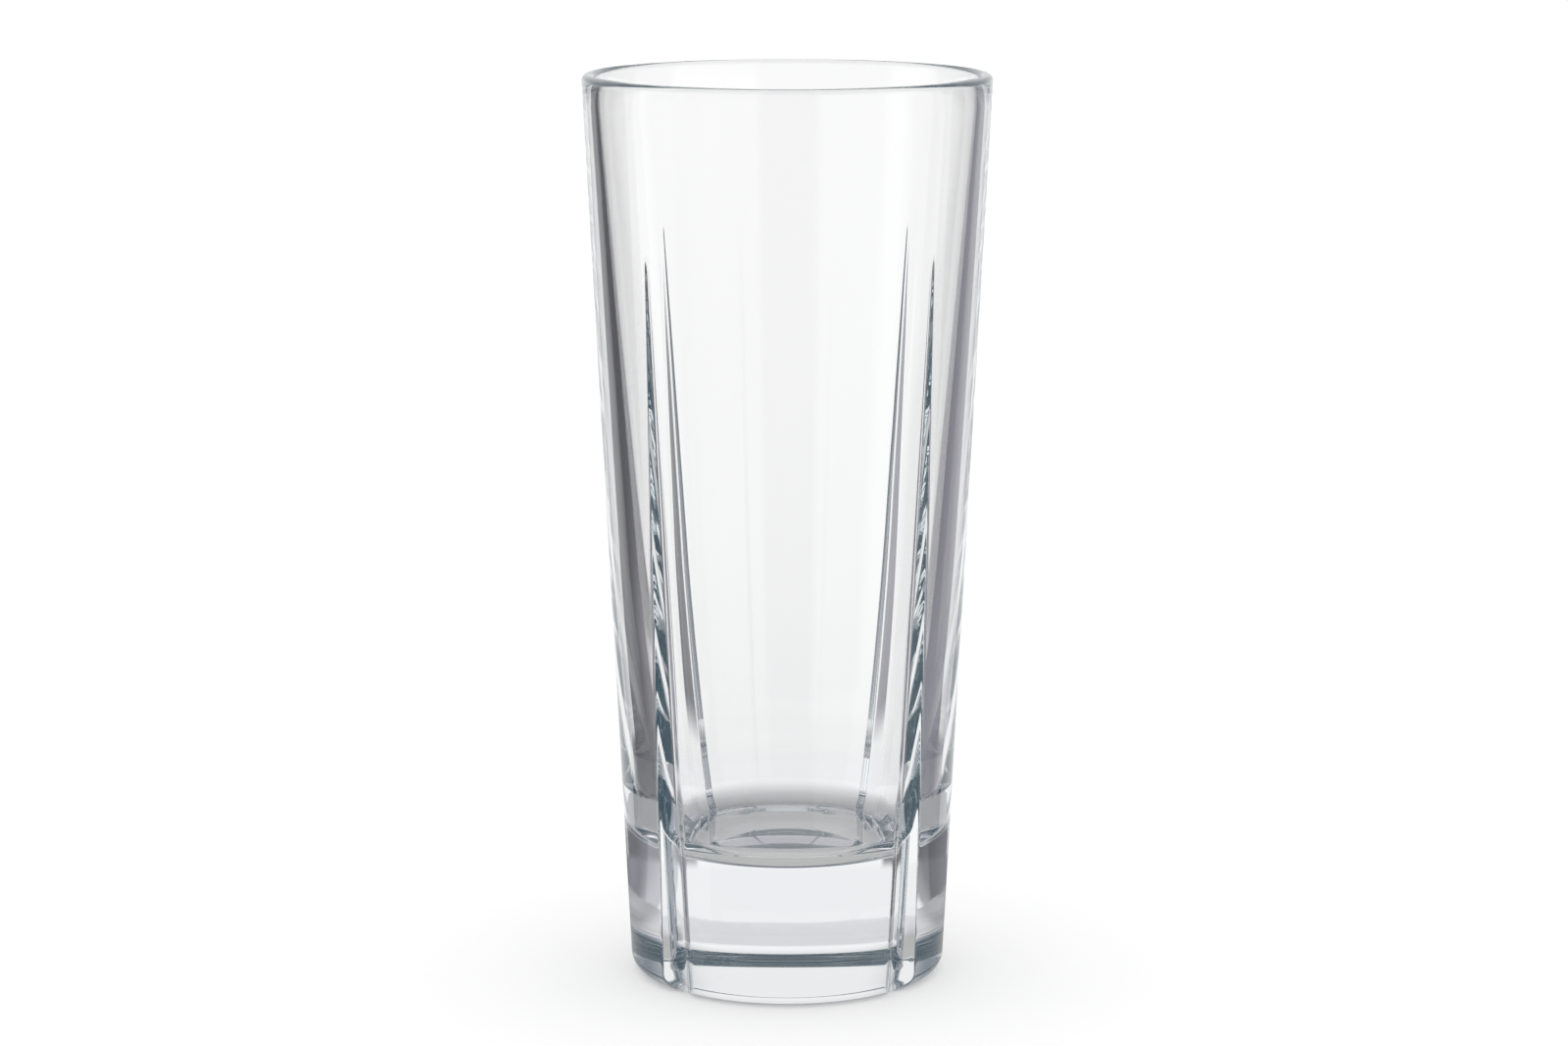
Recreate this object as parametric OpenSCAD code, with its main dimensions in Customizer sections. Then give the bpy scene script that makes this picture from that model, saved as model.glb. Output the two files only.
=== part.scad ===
// Highball glass: one pressed tumbler with a thick foot, a plain lip and four flutes up its side.
// The glass stands on the plane z = 0 with its axis on Z, and it is round apart from the flutes.
// It is one moulding, so its nodes are the zones that a glass maker names: base, bowl and rim.

/* [Outside] */
// Height from the table to the top of the lip
glass_h = 150; // [146:0.5:156]
// Outer radius of the side wall, carried down to the table
foot_r = 26.06; // [25.5:0.1:27]
// Outer radius of the side wall, carried up to the lip
mouth_r = 33.56; // [33:0.1:35]
// Radius of the round edge between the side and the underside
heel_r = 3; // [1.5:0.25:4]

/* [Inside] */
// Height of the drinking floor above the table, which is the thickness of the foot
floor_z = 22; // [20:0.25:26]
// Wall thickness at the floor, before the flare adds to it
wall_low = 5.8; // [4.5:0.1:6.5]
// Wall thickness just under the lip
wall_high = 2.2; // [1.8:0.1:2.8]
// Extra wall at the floor, which dies away upwards
flare_t = 2.2; // [0:0.1:3]
// Height at which the extra wall has died away
flare_top_z = 72; // [50:1:100]
// Radius of the round corner between the floor and the wall
floor_fillet_r = 5; // [2:0.5:8]

/* [Lip] */
// Height of the rounded part of the lip
lip_round_h = 0.9; // [0.5:0.1:1.5]
// Height of the plain band that counts as the rim
rim_h = 8; // [5:0.5:12]

/* [Flutes] */
// Number of flutes round the glass
flutes = 4; // [3:1:8]
// Turn of the first flute from the X axis
flute_turn = 45; // [0:5:45]
// How far each of a flute's two faces leans in, in degrees
flute_lean = 32; // [28:1:36]
// Width of the narrow flat between a flute's two faces
flute_flat_w = 0.3; // [0.2:0.1:0.8]
// Depth of a flute at the table
flute_depth = 2.4; // [1.8:0.1:2.6]
// Height at which a flute's depth would reach nothing
flute_top_z = 130; // [110:1:134]
// How far under that height a flute stops
flute_stop = 8; // [6:0.5:14]

/* [Underside] */
// Radius of the hollow under the foot
punt_r = 19; // [14:0.5:21]
// Depth of the hollow at its middle
punt_h = 1.2; // [0.4:0.1:2]

/* [Hidden] */
glass_tint = [0.86, 0.91, 0.92, 0.45];
past = 1; // how far a cutting shape runs past the glass
fillet_z = floor_z + floor_fillet_r;
fillet_cover = 3; // how far the foot zone runs up past the floor's round corner
base_top_z = fillet_z + fillet_cover;
rim_z = glass_h - rim_h;
side_slope = (mouth_r - foot_r) / glass_h;
round_parts = 96;
arc_steps = 12;
flare_steps = 10;
punt_ball_r = (punt_r * punt_r + punt_h * punt_h) / (2 * punt_h);
flute_run = (outer_r(flute_top_z) - (foot_r - flute_depth)) / flute_top_z;
flute_tilt = atan(flute_run);
flute_open_x = 6; // how far out the cutter reaches from its flat
flute_open_y = flute_flat_w / 2 + flute_open_x / tan(flute_lean);

// Outer radius of the plain side at a height
function outer_r(z) = foot_r + side_slope * z;

// Extra thickness that the flare gives the wall at a height
function flare_at(z) = z > flare_top_z ? 0 : flare_t * pow((flare_top_z - z) / (flare_top_z - floor_z), 2);

// Wall thickness at a height, between the floor and the lip
function wall_t(z) = wall_low + (wall_high - wall_low) * (z - floor_z) / (glass_h - floor_z) + flare_at(z);

// Inner radius of the plain wall at a height
function inner_r(z) = outer_r(z) - wall_t(z);

// Points on an arc round a centre, from one angle to another, with its own radius each way
function arc(c, rx, rz, from, to) = [
  for (i = [0 : arc_steps])
    let (a = from + (to - from) * i / arc_steps)
      [c[0] + rx * cos(a), c[1] + rz * sin(a)]
];

// Half section of the whole outside, filled to the axis
module outside_section() {
  heel_x = outer_r(heel_r) - heel_r;
  lip_z = glass_h - lip_round_h;
  lip_mid_x = (outer_r(lip_z) + inner_r(lip_z)) / 2;
  polygon(concat(
    [[0, 0]],
    arc([heel_x, heel_r], heel_r, heel_r, -90, 0),
    arc([lip_mid_x, lip_z], outer_r(lip_z) - lip_mid_x, lip_round_h, 0, 90),
    [[0, glass_h]]
  ));
}

// Half section of the drinking space, open past the top
module inside_section() {
  fillet_x = inner_r(fillet_z) - floor_fillet_r;
  flare_step = (flare_top_z - fillet_z) / flare_steps;
  lip_z = glass_h - lip_round_h;
  lip_mid_x = (outer_r(lip_z) + inner_r(lip_z)) / 2;
  polygon(concat(
    [[0, floor_z]],
    arc([fillet_x, fillet_z], floor_fillet_r, floor_fillet_r, -90, 0),
    [for (i = [1 : flare_steps]) [inner_r(fillet_z + i * flare_step), fillet_z + i * flare_step]],
    arc([lip_mid_x, lip_z], inner_r(lip_z) - lip_mid_x, lip_round_h, 0, 90),
    [[lip_mid_x, glass_h + past], [0, glass_h + past]]
  ));
}

// Section of the cutter for one flute: a narrow flat, with a face at each side that opens outwards
module flute_section() {
  polygon([
    [0, flute_flat_w / 2],
    [0, -flute_flat_w / 2],
    [flute_open_x, -flute_open_y],
    [flute_open_x, flute_open_y]
  ]);
}

// The leaning cutters of the flutes, each ending bluntly where its cut is thin
module flute_cutters() {
  cutter_l = past + flute_top_z - flute_stop;
  for (i = [0 : flutes - 1])
    rotate([0, 0, flute_turn + i * 360 / flutes])
      translate([foot_r - flute_depth, 0, 0])
        rotate([0, flute_tilt, 0])
          translate([0, 0, -past])
            linear_extrude(height = cutter_l)
              flute_section();
}

// The shallow dome under the foot, which leaves a ring to stand on
module punt_cutter() {
  translate([0, 0, punt_h - punt_ball_r])
    sphere(r = punt_ball_r, $fn = round_parts);
}

// Turned blank of the zone between two heights, before the flutes are cut
module blank(low_z, high_z) {
  rotate_extrude($fn = round_parts)
    intersection() {
      difference() {
        outside_section();
        inside_section();
      }
      translate([0, low_z])
        square([mouth_r + past, high_z - low_z]);
    }
}

// Thick foot with the drinking floor, the floor's round corner and the hollow underside
module base() {
  color(glass_tint)
    difference() {
      blank(0, base_top_z);
      flute_cutters();
      punt_cutter();
    }
}

// Tapered side wall, thick below and thin above, where the flutes run out
module bowl() {
  color(glass_tint)
    difference() {
      blank(base_top_z, rim_z);
      flute_cutters();
    }
}

// Plain band at the mouth with the rounded lip
module rim() {
  color(glass_tint) blank(rim_z, glass_h);
}

base();
bowl();
rim();
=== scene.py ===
import math

import bmesh
import bpy
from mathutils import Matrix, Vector


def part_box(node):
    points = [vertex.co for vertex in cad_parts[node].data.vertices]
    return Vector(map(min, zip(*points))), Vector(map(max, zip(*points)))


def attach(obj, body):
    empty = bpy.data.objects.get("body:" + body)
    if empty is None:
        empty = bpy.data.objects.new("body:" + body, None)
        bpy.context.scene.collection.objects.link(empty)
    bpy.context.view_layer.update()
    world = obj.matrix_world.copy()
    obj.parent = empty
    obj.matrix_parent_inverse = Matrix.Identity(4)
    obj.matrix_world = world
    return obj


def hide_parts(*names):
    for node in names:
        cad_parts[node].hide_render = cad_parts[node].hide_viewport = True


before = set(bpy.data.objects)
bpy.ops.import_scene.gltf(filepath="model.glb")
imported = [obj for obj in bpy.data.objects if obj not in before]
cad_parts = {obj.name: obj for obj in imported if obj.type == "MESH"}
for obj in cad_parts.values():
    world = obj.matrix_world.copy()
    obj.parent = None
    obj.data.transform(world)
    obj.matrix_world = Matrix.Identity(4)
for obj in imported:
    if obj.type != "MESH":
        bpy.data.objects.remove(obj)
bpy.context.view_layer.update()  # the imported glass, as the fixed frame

mm = 0.001
scene = bpy.context.scene
print("frame loaded, nodes:", sorted(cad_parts))


# camera, where the photographer stood

cameraSetup = {
    "distance": 701 * mm,  # in front of the glass's axis
    "height": 203.2 * mm,
    "aside": -0.54 * mm,
    "tiltDown": 10.31,
    "turn": -0.9,  # the glass in the photograph is turned this much, so the camera goes round it
    "focalPixels": 4385,
    "imageWidth": 1600,
    "sensor": 36,
    "clipStart": 10 * mm,
}


def addCamera(c):
    data = bpy.data.cameras.new("camera")
    camera = bpy.data.objects.new("camera", data)
    scene.collection.objects.link(camera)
    data.sensor_width = c["sensor"]
    data.lens = c["focalPixels"] / c["imageWidth"] * c["sensor"]
    data.clip_start = c["clipStart"]
    turn = math.radians(c["turn"])
    place = Vector((c["aside"], -c["distance"], c["height"]))
    camera.location = (
        place.x * math.cos(turn) - place.y * math.sin(turn),
        place.x * math.sin(turn) + place.y * math.cos(turn),
        place.z,
    )
    camera.rotation_euler = (math.radians(90 - c["tiltDown"]), 0, turn)
    scene.camera = camera


addCamera(cameraSetup)
print("camera placed")


# the glass, all in millimetres until it is scaled at the end

glassShape = {
    "lipRound": 0.9,
    "lipSegments": 8,
    "heelRadius": 3.0,
    "heelSegments": 12,
    "hollowRadius": 19.0,  # under the foot
    "hollowDepth": 1.2,
    "floorHeight": 22.0,
    "floorCorner": 5.0,
    "cornerSegments": 14,
    "wallLow": 5.8,
    "wallHigh": 2.2,
    "flare": 2.2,  # extra wall at the floor, which dies away upwards
    "flareTop": 72.0,
    "flutes": 4,
    "fluteTurn": 45,
    "fluteSlope": 32.0,  # how far each of a flute's two faces leans in, in degrees
    "fluteTip": 0.5,  # radius of the round between its two faces
    "fluteDepth": 2.4,
    "fluteTop": 130.0,  # where a flute's depth would reach nothing
    "fluteStop": (121.0, 122.5),  # where it really ends, on a short ramp
    "shoulder": 0.25,  # how far the edge beside a flute is melted round, where the flute is deep
    "columns": 320,
    "fluteColumns": 0.4,  # share of the columns that crowd into the flutes
    "crowding": 1.5,
    "leastSpread": 2,  # degrees to each side that they keep where a flute is narrow or has ended
    "rowStep": 1.0,
    "innerRowStep": 4.0,
}


def measureFrame(s):
    # the outer cone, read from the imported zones
    baseTop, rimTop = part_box("base")[1] / mm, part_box("rim")[1] / mm
    s["height"] = rimTop.z
    s["outerSlope"] = (rimTop.x - baseTop.x) / (rimTop.z - s["lipRound"] - baseTop.z)
    s["footRadius"] = baseTop.x - s["outerSlope"] * baseTop.z


def outerRadius(s, z):
    return s["footRadius"] + s["outerSlope"] * z


def wallThickness(s, z):
    share = (z - s["floorHeight"]) / (s["height"] - s["floorHeight"])
    flare = max(s["flareTop"] - z, 0) / (s["flareTop"] - s["floorHeight"])
    return s["wallLow"] + (s["wallHigh"] - s["wallLow"]) * share + s["flare"] * flare ** 2


def innerRadius(s, z):
    return outerRadius(s, z) - wallThickness(s, z)


def fluteFloor(s, z):
    # distance from the axis to the deepest line of a flute
    depth = s["fluteDepth"] * (1 - z / s["fluteTop"])
    stopLow, stopHigh = s["fluteStop"]
    lift = min(max((z - stopLow) / (stopHigh - stopLow), 0), 1)
    return outerRadius(s, z) - depth * (1 - lift)


def fluteRise(s, across):
    # how far a flute's hollow has come up beside its deepest line
    lean, tip = math.radians(s["fluteSlope"]), s["fluteTip"]
    if abs(across) < tip * math.sin(lean):
        return tip - math.sqrt(tip ** 2 - across ** 2)
    return tip - tip / math.cos(lean) + abs(across) * math.tan(lean)


def fluteHalfWidth(s, z):
    # where the flute's hollow meets the plain side, measured across and found by halving
    low, high, near = 0.0, 10.0, 0.001
    if z >= s["fluteStop"][1]:
        return low
    while high - low > near:
        across = (low + high) / 2
        inFlute = fluteFloor(s, z) + fluteRise(s, across) < math.sqrt(outerRadius(s, z) ** 2 - across ** 2)
        low, high = (across, high) if inFlute else (low, across)
    return low


def roundCorner(bm, corner, radius, segments):
    before, after = [edge.other_vert(corner).co - corner.co for edge in corner.link_edges]
    tangent = radius / math.tan(before.angle(after) / 2)
    bmesh.ops.bevel(
        bm, geom=[corner], offset=tangent, offset_type="OFFSET", affect="VERTICES",
        segments=segments, profile=0.5, material=-1,
    )


def outlineMesh(s):
    # half section of the whole glass as one wire, from the hollow under the foot to the floor inside
    top = s["height"]
    points = {
        "underCentre": (0, 0),
        "hollowEdge": (s["hollowRadius"], 0),
        "heel": (outerRadius(s, 0), 0),
        "lipOut": (outerRadius(s, top), top),
        "lipIn": (innerRadius(s, top), top),
        "floorCorner": (innerRadius(s, s["floorHeight"]), s["floorHeight"]),
        "floorCentre": (0, s["floorHeight"]),
    }
    bm = bmesh.new()
    corners = {name: bm.verts.new((x, 0, z)) for name, (x, z) in points.items()}
    inOrder = list(corners.values())
    for pair in zip(inOrder, inOrder[1:]):
        bm.edges.new(pair)
    roundCorner(bm, corners["heel"], s["heelRadius"], s["heelSegments"])
    roundCorner(bm, corners["floorCorner"], s["floorCorner"], s["cornerSegments"])
    widest = wallThickness(s, top) / 2 * 0.98  # the lip's two rounds never quite meet
    for name in ("lipOut", "lipIn"):
        roundCorner(bm, corners[name], min(s["lipRound"], widest), s["lipSegments"])
    for edge in list(bm.edges):
        inside = all(v.co.x < outerRadius(s, v.co.z) - 1 and v.co.z > s["floorHeight"] for v in edge.verts)
        step = s["innerRowStep"] if inside else s["rowStep"]
        cuts = int(edge.calc_length() / step)
        if cuts > 1:
            made = bmesh.ops.subdivide_edges(bm, edges=[edge], cuts=cuts)
            if inside:
                for vert in made["geom_inner"]:
                    if isinstance(vert, bmesh.types.BMVert):
                        vert.co.x = innerRadius(s, vert.co.z)
    return bm


def fluteAngle(s, angle, spread):
    # moves evenly spread columns so that they crowd at the edges of the flutes
    pitch = 2 * math.pi / s["flutes"]
    first = math.radians(s["fluteTurn"])
    place = (angle - first) / pitch
    nearest = round(place)
    side = math.copysign(1, place - nearest)
    share = abs(place - nearest) * 2
    inFlute = s["fluteColumns"]
    if share < inFlute:
        moved = spread * (1 - (1 - share / inFlute) ** s["crowding"])
    else:
        moved = spread + (pitch / 2 - spread) * ((share - inFlute) / (1 - inFlute)) ** s["crowding"]
    return first + nearest * pitch, side * moved


def carveFlutes(s, bm):
    least = math.radians(s["leastSpread"])
    for vert in bm.verts:
        radius, z = math.hypot(vert.co.x, vert.co.y), vert.co.z
        onHeel = z < s["heelRadius"] and radius > outerRadius(s, z) - s["heelRadius"] * 1.1
        onSide = z >= s["heelRadius"] and radius > outerRadius(s, z) - wallThickness(s, z) / 2
        if not (onHeel or onSide):
            continue
        spread = max(math.asin(fluteHalfWidth(s, z) / outerRadius(s, z)), least)
        middle, offset = fluteAngle(s, math.atan2(vert.co.y, vert.co.x), spread)
        across, out = radius * math.sin(offset), radius * math.cos(offset)
        hollow = fluteFloor(s, z) + fluteRise(s, across)
        if z < s["fluteStop"][1]:
            soft = s["shoulder"] * (1 - z / s["fluteTop"])
            melt = max(soft - abs(out - hollow), 0) / soft
            out = min(out, hollow) - melt * melt * soft / 4
        turn = math.atan2(across, out) + middle
        radius = math.hypot(across, out)
        vert.co.x, vert.co.y = radius * math.cos(turn), radius * math.sin(turn)


def hollowFoot(s, bm):
    for vert in bm.verts:
        share = math.hypot(vert.co.x, vert.co.y) / s["hollowRadius"]
        if vert.co.z < s["hollowDepth"] / 4 and share < 1:
            vert.co.z += s["hollowDepth"] * (1 - share ** 2)


def makeGlass(s):
    measureFrame(s)
    bm = outlineMesh(s)
    bmesh.ops.spin(
        bm, geom=bm.verts[:] + bm.edges[:], cent=(0, 0, 0), axis=(0, 0, 1), dvec=(0, 0, 0),
        angle=2 * math.pi, steps=s["columns"], use_merge=True,
    )
    bmesh.ops.remove_doubles(bm, verts=bm.verts, dist=0.001)
    hollowFoot(s, bm)
    carveFlutes(s, bm)
    bmesh.ops.scale(bm, vec=(mm, mm, mm), verts=bm.verts)
    bmesh.ops.recalc_face_normals(bm, faces=bm.faces)
    mesh = bpy.data.meshes.new("highballGlass")
    for face in bm.faces:
        face.smooth = True
    bm.to_mesh(mesh)
    bm.free()
    glass = bpy.data.objects.new("highballGlass", mesh)
    scene.collection.objects.link(glass)
    return glass


glass = makeGlass(glassShape)
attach(glass, "root")
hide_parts("base", "bowl", "rim")
print("glass made, faces:", len(glass.data.polygons))


# shader helpers

def hexColour(code):
    # sRGB hex to linear RGBA
    channels = [int(code[i:i + 2], 16) / 255 for i in (1, 3, 5)]
    return tuple(c / 12.92 if c <= 0.04045 else ((c + 0.055) / 1.055) ** 2.4 for c in channels) + (1.0,)


def addNode(tree, kind, inputs=None, **settings):
    node = tree.nodes.new(kind)
    for name, value in settings.items():
        setattr(node, name, value)
    for socket, value in (inputs or {}).items():
        if isinstance(value, bpy.types.NodeSocket):
            tree.links.new(value, node.inputs[socket])
        else:
            node.inputs[socket].default_value = value
    return node


def maths(tree, operation, *values):
    return addNode(tree, "ShaderNodeMath", dict(enumerate(values)), operation=operation).outputs[0]


def mixColour(tree, share, first, second):
    return addNode(tree, "ShaderNodeMix", {0: share, 6: first, 7: second}, data_type="RGBA").outputs[2]


def ramp(tree, value, start, end, low=0.0, high=1.0):
    # low before start, high after end, and a smooth change between
    return addNode(tree, "ShaderNodeMapRange", {
        "Value": value, "From Min": start, "From Max": end, "To Min": low, "To Max": high,
    }, interpolation_type="SMOOTHSTEP").outputs[0]


def band(tree, value, low, high, soft):
    # 1 between low and high, 0 outside, with soft edges
    rise = ramp(tree, value, low - soft, low + soft)
    fall = ramp(tree, value, high - soft, high + soft, 1.0, 0.0)
    return maths(tree, "MULTIPLY", rise, fall)


def noiseWaves(tree, place, waveLength):
    return addNode(tree, "ShaderNodeTexNoise", {
        "Vector": place, "Scale": 1 / waveLength, "Detail": 1.0,
    }).outputs["Fac"]


def newMaterial(name):
    material = bpy.data.materials.new(name)
    material.use_nodes = True
    material.node_tree.nodes.clear()
    return material, material.node_tree


# the glass's material

glassLook = {
    "surface": "#FFFFFF",
    "ior": 1.52,
    "waveLength": 14 * mm,  # how far apart the shallow waves of a pressed side are
    "waveHeight": 0.01 * mm,
    "tint": "#E2EEF3",
    "tintDensity": 4.0,
}


def pressedGlass(s):
    # soda-lime glass, pressed in an iron mould and then melted smooth by flames:
    # the eye gets a clear body that cools the light a little where it is thick, and a faint waviness
    material, tree = newMaterial("sodaLimeGlassPressed")
    place = addNode(tree, "ShaderNodeTexCoord").outputs["Object"]
    bump = addNode(tree, "ShaderNodeBump", {
        "Height": noiseWaves(tree, place, s["waveLength"]), "Strength": 1.0, "Distance": s["waveHeight"],
    })
    surface = addNode(tree, "ShaderNodeBsdfPrincipled", {
        "Base Color": hexColour(s["surface"]),
        "Transmission Weight": 1.0,
        "Roughness": 0.0,
        "IOR": s["ior"],
        "Normal": bump.outputs["Normal"],
    })
    body = addNode(tree, "ShaderNodeVolumeAbsorption", {
        "Color": hexColour(s["tint"]), "Density": s["tintDensity"],
    })
    addNode(tree, "ShaderNodeOutputMaterial", {"Surface": surface.outputs[0], "Volume": body.outputs[0]})
    return material


glass.data.materials.append(pressedGlass(glassLook))
print("glass material made")


# the studio: a white floor and wall, with a grey flag at each side behind the glass to draw its edges
# headings are in degrees from straight back, + to the right, and heights in degrees above the horizon

flags = {
    "left": {
        "inner": 25.0,
        "leanFrom": -12,  # under this height the inner edge comes in
        "lean": 0.75,
        "outer": 76,
        "tones": ("#7F7F82", "#4C4C50", "#5C5C60"),  # its colour at each heading in bends
        "bends": (28, 38, 70),
        "footTones": ("#7C7C80", "#626266", "#8A898D"),  # and low down, where the foot shows it
        "footBends": (28, 38, 52),
        # the painted shade it casts on the floor near the glass, as the glass shows it
        "floorInner": 24,
        "floorShadeTones": ("#979799", "#67676A", "#727177"),
        "floorBends": (26, 34, 60),
    },
    "right": {
        "inner": 25.0,
        "leanFrom": -20.5,
        "lean": 1.5,
        "outer": 76,
        "tones": ("#A4A3AA", "#86858E", "#55555B"),
        "bends": (28, 38, 70),
        "footTones": ("#98979F", "#8F8E96", "#8B8A92"),
        "footBends": (28, 38, 52),
        # the painted shade it casts on the floor near the glass, as the glass shows it
        "floorInner": 22,
        "floorShadeTones": ("#BEBDC3", "#83828A", "#8C8B93"),
        "floorBends": (25, 43, 55),
    },
}


def headingOf(tree, axes):
    return maths(tree, "DEGREES", maths(tree, "ARCTAN2", axes[0], axes[1]))


def toneByHeading(tree, outwards, tones, bends):
    # one colour at the first heading, the next at the second and the last at the third
    colour = hexColour(tones[0])
    for tone, start, end in zip(tones[1:], bends, bends[1:]):
        colour = mixColour(tree, ramp(tree, outwards, start, end), colour, hexColour(tone))
    return colour


def withFlags(tree, sides, heading, colour, flagTone, past, soft):
    # a colour with both flags over it; the first function given sets what a flag lays over it, its own
    # colour in the room
    #  and its painted shade on the floor, and past how far a heading is past its inner edge, and both may
    #  follow the height
    outwards = maths(tree, "ABSOLUTE", heading)
    for side, test in (("left", "LESS_THAN"), ("right", "GREATER_THAN")):
        flag = sides[side]
        start = ramp(tree, past(flag, outwards), -soft, soft)
        end = ramp(tree, outwards, flag["outer"] - soft, flag["outer"] + soft, 1.0, 0.0)
        here = maths(tree, test, heading, 0.0)
        share = maths(tree, "MULTIPLY", here, maths(tree, "MULTIPLY", start, end))
        colour = mixColour(tree, share, colour, flagTone(flag, outwards))
    return colour


def keptInGlass(tree, path):
    # 1 for light through the foot or along inside the wall, 0 for light across the drinking space
    return maths(tree, "LESS_THAN", path["Transmission Depth"], 2.5)


def throughGlass(tree, path):
    return maths(tree, "MAXIMUM", path["Is Transmission Ray"], path["Is Glossy Ray"])


floorSetup = {
    "size": 40.0,
    "drop": 0.05 * mm,  # keeps the floor just clear of the foot
    "paint": "#E6E6E6",
    "glow": "#FFFFFF",
    "cameraGlow": 0.3,  # lifts the paint to white where the camera looks straight at it
    "white": "#F3F3F4",  # the floor as the glass shows it
    "end": (96 * mm, 108 * mm),  # past this the glass shows the wall and the flags
    "flagSoft": 2,
    # across the drinking space, a painted shadow of the glass: under the foot, darker at the foot's edge,
    # and fading out from it
    "underFootShadow": "#BCBCBB",
    "footEdgeShadow": "#9C9C9E",
    "footFade": (16 * mm, 29 * mm),
    "shadeFade": (27 * mm, 80 * mm),
    # through the foot alone: the glass's own painted shadow, and a paler ring of painted shade round it,
    # darker to the sides
    "core": "#B9B9B8",
    "coreFade": (35 * mm, 41 * mm),
    "ring": "#DFDFE1",
    "ringAside": "#A6A6A8",
    "ringHeadings": (12, 26),
    "ringFade": (53 * mm, 55 * mm),
    "ringSpread": 8 * mm,  # how much further it reaches at the sides
    "spreadHeadings": (10, 45),
    "ringWave": 6 * mm,
    "ringWaveLength": 9 * mm,
}


def whiteFloor(s, sides):
    # matt white laminate, rolled: even and shadow-soft; near the glass, where the glass shows it, it glows
    # with painted shadow of the glass round the foot and painted shade of the flags
    material, tree = newMaterial("laminateMattWhitePaintedShade")
    path = addNode(tree, "ShaderNodeLightPath").outputs
    place = addNode(tree, "ShaderNodeTexCoord").outputs["Object"]
    heading = headingOf(tree, addNode(tree, "ShaderNodeSeparateXYZ", {0: place}).outputs)
    outwards = maths(tree, "ABSOLUTE", heading)
    distance = addNode(tree, "ShaderNodeVectorMath", {0: place}, operation="LENGTH").outputs["Value"]
    colours = {name: hexColour(code) for name, code in s.items() if isinstance(code, str)}

    # painted shadow of the glass on the floor, as seen across the drinking space
    under = mixColour(tree, ramp(tree, distance, *s["footFade"]), colours["underFootShadow"], colours["footEdgeShadow"])
    across = mixColour(tree, ramp(tree, distance, *s["shadeFade"]), under, colours["white"])

    # painted shadow seen through the foot: a core, and a ring whose outer edge is made wavy
    waves = noiseWaves(tree, place, s["ringWaveLength"])
    half = s["ringWave"] / 2
    spread = ramp(tree, outwards, *s["spreadHeadings"], half, half + s["ringSpread"])
    wavy = maths(tree, "MULTIPLY_ADD", waves, s["ringWave"], maths(tree, "SUBTRACT", distance, spread))
    ring = mixColour(tree, ramp(tree, outwards, *s["ringHeadings"]), colours["ring"], colours["ringAside"])
    shaded = mixColour(tree, ramp(tree, distance, *s["coreFade"], 1.0, 0.0), ring, colours["core"])

    # the painted shade each flag casts on the floor near the glass
    def flagTone(flag, outwards):
        return toneByHeading(tree, outwards, flag["floorShadeTones"], flag["floorBends"])

    def past(flag, outwards):
        return maths(tree, "SUBTRACT", outwards, flag["floorInner"])

    flagged = withFlags(tree, sides, heading, colours["white"], flagTone, past, s["flagSoft"])
    kept = mixColour(tree, ramp(tree, wavy, *s["ringFade"]), shaded, flagged)
    seen = mixColour(tree, keptInGlass(tree, path), across, kept)

    paint = addNode(tree, "ShaderNodeBsdfDiffuse", {"Color": colours["paint"]})
    strength = maths(tree, "MULTIPLY", path["Is Camera Ray"], s["cameraGlow"])
    glow = addNode(tree, "ShaderNodeEmission", {"Color": colours["glow"], "Strength": strength})
    solid = addNode(tree, "ShaderNodeAddShader", {0: paint.outputs[0], 1: glow.outputs[0]})
    near = addNode(tree, "ShaderNodeEmission", {"Color": seen, "Strength": 1.0})
    clear = addNode(tree, "ShaderNodeBsdfTransparent")
    far = ramp(tree, distance, *s["end"])
    shown = addNode(tree, "ShaderNodeMixShader", {0: far, 1: near.outputs[0], 2: clear.outputs[0]})
    mix = addNode(tree, "ShaderNodeMixShader", {
        0: throughGlass(tree, path), 1: solid.outputs[0], 2: shown.outputs[0],
    })
    addNode(tree, "ShaderNodeOutputMaterial", {"Surface": mix.outputs[0]})
    return material


def addFloor(s, sides):
    bm = bmesh.new()
    bmesh.ops.create_grid(bm, x_segments=1, y_segments=1, size=s["size"] / 2)
    bmesh.ops.translate(bm, vec=(0, 0, -s["drop"]), verts=bm.verts)
    mesh = bpy.data.meshes.new("floor")
    bm.to_mesh(mesh)
    bm.free()
    floor = bpy.data.objects.new("floor", mesh)
    scene.collection.objects.link(floor)
    mesh.materials.append(whiteFloor(s, sides))


addFloor(floorSetup, flags)
print("floor laid")


room = {
    "plain": "#FFFFFF",  # the light that falls on everything
    "white": "#FFFFFF",  # the lit wall behind the glass, as the glass shows it
    "wallEnds": (76, 84),
    "dark": "#000000",
    "dim": 0.1,  # how much of the wall's light is missing low down and high up
    "dimLow": (-24, -6),
    "dimHigh": (-2, 12),
    "side": "#6A7480",  # the dim room above the flags
    "sideHeadings": (18, 58),
    "sideHeights": (-4, 4),
    "flagLow": -30.0,
    "flagLowBeyond": -19.5,  # the same edge for light straight through the walls
    "flagHigh": -5,
    "flagSoft": 1,
    "footHeights": (-21, -13),  # between these the flags change to their foot tones
    "reflectedShift": 20,  # low down, the glass's outer face mirrors the flags from so much further out
    "reflectedHeights": (-16, -11),
    "front": "#B2B1B8",  # the room in front of the glass, which its faces reflect
    "whitePanels": ((-113, -77), (107, 163)),  # headings of the panels at the side and in front
    "panelSoft": 3,
    "panelTop": (5, 12),
    "gap": "#4B5C69",  # dark gap between the wall and the light above
    "gapHeights": (37, 54),
    "gapSoft": 2,
    "gapHeadings": (85, 95),
    "top": "#4A5560",  # the dark ceiling
    "topHeights": (53, 59),
    "lost": "#46565F",  # light that went round in the thick wall comes out dim and cool
    "lostAfter": (9, 16),  # after so many meetings with the glass's surfaces
}


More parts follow.
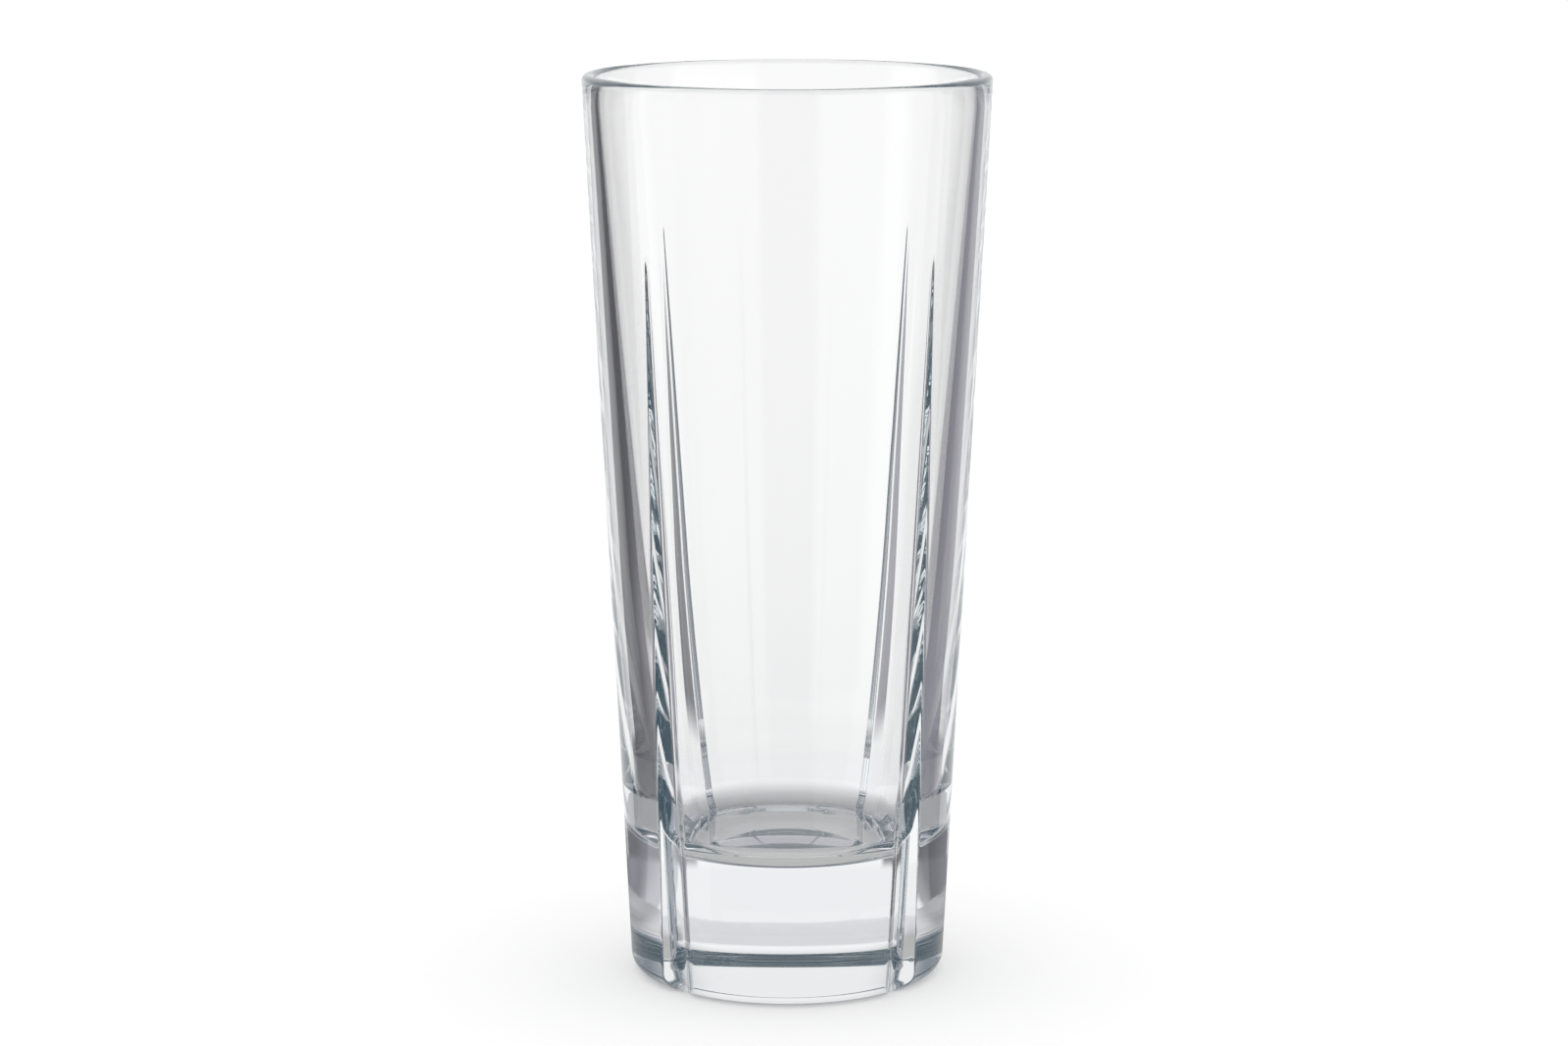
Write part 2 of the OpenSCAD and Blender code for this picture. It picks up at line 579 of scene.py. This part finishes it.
def flagHeights(tree, s, path, height):
    # 1 between the flags' lower and upper edges; for light straight through the walls they end higher up
    turnedInside = maths(tree, "GREATER_THAN", path["Glossy Depth"], 0.5)
    longWay = maths(tree, "MULTIPLY", keptInGlass(tree, path), turnedInside)
    low = addNode(tree, "ShaderNodeMix", {0: longWay, 2: s["flagLowBeyond"], 3: s["flagLow"]}).outputs[0]
    soft = s["flagSoft"]
    rise = ramp(tree, maths(tree, "SUBTRACT", height, low), -soft, soft)
    fall = ramp(tree, height, s["flagHigh"] - soft, s["flagHigh"] + soft, 1.0, 0.0)
    return maths(tree, "MULTIPLY", rise, fall)


def wallBehind(tree, s, sides, path, heading, height):
    # the lit wall with the dim room beside it, and the flags in front
    outwards = maths(tree, "ABSOLUTE", heading)
    dim = maths(
        tree, "MAXIMUM",
        ramp(tree, height, *s["dimLow"], s["dim"], 0.0), ramp(tree, height, *s["dimHigh"], 0.0, s["dim"]),
    )
    wall = mixColour(tree, dim, hexColour(s["white"]), hexColour(s["dark"]))
    beside = maths(
        tree, "MULTIPLY", ramp(tree, outwards, *s["sideHeadings"]), ramp(tree, height, *s["sideHeights"]),
    )
    wall = mixColour(tree, beside, wall, hexColour(s["side"]))
    foot = ramp(tree, height, *s["footHeights"], 1.0, 0.0)
    reflected = maths(tree, "LESS_THAN", path["Transmission Depth"], 0.5)
    reflected = maths(tree, "MULTIPLY", reflected, ramp(tree, height, *s["reflectedHeights"], 1.0, 0.0))

    def flagTone(flag, outwards):
        high = toneByHeading(tree, outwards, flag["tones"], flag["bends"])
        return mixColour(tree, foot, high, toneByHeading(tree, outwards, flag["footTones"], flag["footBends"]))

    def past(flag, outwards):
        below = maths(tree, "MAXIMUM", maths(tree, "SUBTRACT", flag["leanFrom"], height), 0.0)
        edge = maths(tree, "MULTIPLY_ADD", below, -flag["lean"], flag["inner"])
        edge = maths(tree, "MULTIPLY_ADD", reflected, s["reflectedShift"], edge)
        return maths(tree, "SUBTRACT", outwards, edge)

    flagged = withFlags(tree, sides, heading, wall, flagTone, past, s["flagSoft"])
    return mixColour(tree, flagHeights(tree, s, path, height), wall, flagged)


def addStudioLight(s, sides):
    world = bpy.data.worlds.new("studio")
    scene.world = world
    world.use_nodes = True
    tree = world.node_tree
    tree.nodes.clear()
    path = addNode(tree, "ShaderNodeLightPath").outputs
    outside = addNode(tree, "ShaderNodeTexCoord").outputs["Generated"]
    axes = addNode(tree, "ShaderNodeSeparateXYZ", {0: outside}).outputs
    heading = headingOf(tree, axes)
    outwards = maths(tree, "ABSOLUTE", heading)
    height = maths(tree, "DEGREES", maths(tree, "ARCSINE", axes[2]))

    panels = maths(tree, "ADD", *[band(tree, heading, *ends, s["panelSoft"]) for ends in s["whitePanels"]])
    panels = maths(tree, "MULTIPLY", panels, ramp(tree, height, *s["panelTop"], 1.0, 0.0))
    seen = mixColour(tree, panels, hexColour(s["front"]), hexColour(s["white"]))
    back = ramp(tree, outwards, *s["wallEnds"], 1.0, 0.0)
    seen = mixColour(tree, back, seen, wallBehind(tree, s, sides, path, heading, height))
    low, high = s["gapHeights"]
    gap = band(tree, height, low, high, s["gapSoft"])
    gap = maths(tree, "MULTIPLY", gap, ramp(tree, outwards, *s["gapHeadings"], 1.0, 0.0))
    seen = mixColour(tree, gap, seen, hexColour(s["gap"]))
    above = ramp(tree, height, high - s["gapSoft"], high + s["gapSoft"])
    seen = mixColour(tree, above, seen, hexColour(s["front"]))
    seen = mixColour(tree, ramp(tree, height, *s["topHeights"]), seen, hexColour(s["top"]))
    seen = mixColour(tree, ramp(tree, path["Ray Depth"], *s["lostAfter"]), seen, hexColour(s["lost"]))

    colour = mixColour(tree, throughGlass(tree, path), hexColour(s["plain"]), seen)
    shine = addNode(tree, "ShaderNodeBackground", {"Color": colour, "Strength": 1.0})
    addNode(tree, "ShaderNodeOutputWorld", {"Surface": shine.outputs[0]})


addStudioLight(room, flags)
mostMeetings = 128  # light goes round in the thick wall many times before it comes out
scene.cycles.max_bounces = mostMeetings
scene.cycles.transmission_bounces = mostMeetings
scene.cycles.glossy_bounces = mostMeetings
scene.view_settings.view_transform = "Standard"
print("studio made")
